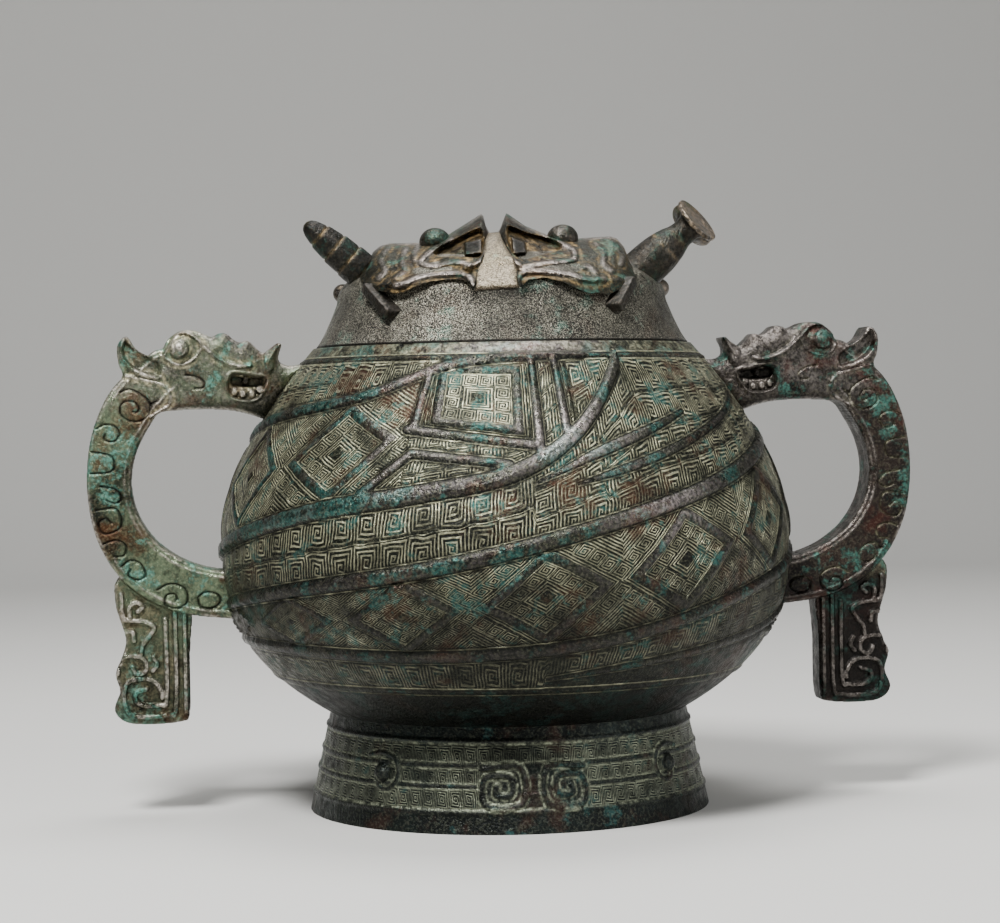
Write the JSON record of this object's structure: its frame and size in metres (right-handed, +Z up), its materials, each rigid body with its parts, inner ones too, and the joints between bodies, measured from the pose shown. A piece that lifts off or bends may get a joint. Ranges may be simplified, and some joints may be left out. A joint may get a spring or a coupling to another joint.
{
  "type": "lidded bronze gui food vessel",
  "caption": "Round-bellied ancient bronze gui on a ring foot, with dragon-head loop handles, winding carved bands and a lift-off lid with horned dragon heads.",
  "frame": {"origin": "middle of the foot's underside, where the vessel stands", "axes": "+Z up, X through both handles, the carved front faces -Y"},
  "size_m": [0.3898, 0.2704, 0.2827],
  "materials": {
    "vessel_bronze": "aged cast bronze with green and blue patina, pale lines in the carving",
    "lid_bronze": "aged cast bronze, greyer and smoother, ochre earth in the joints"
  },
  "bodies": {
    "root": {"vessel": "vessel_bronze", "lid": "lid_bronze"}
  },
  "joints": []
}
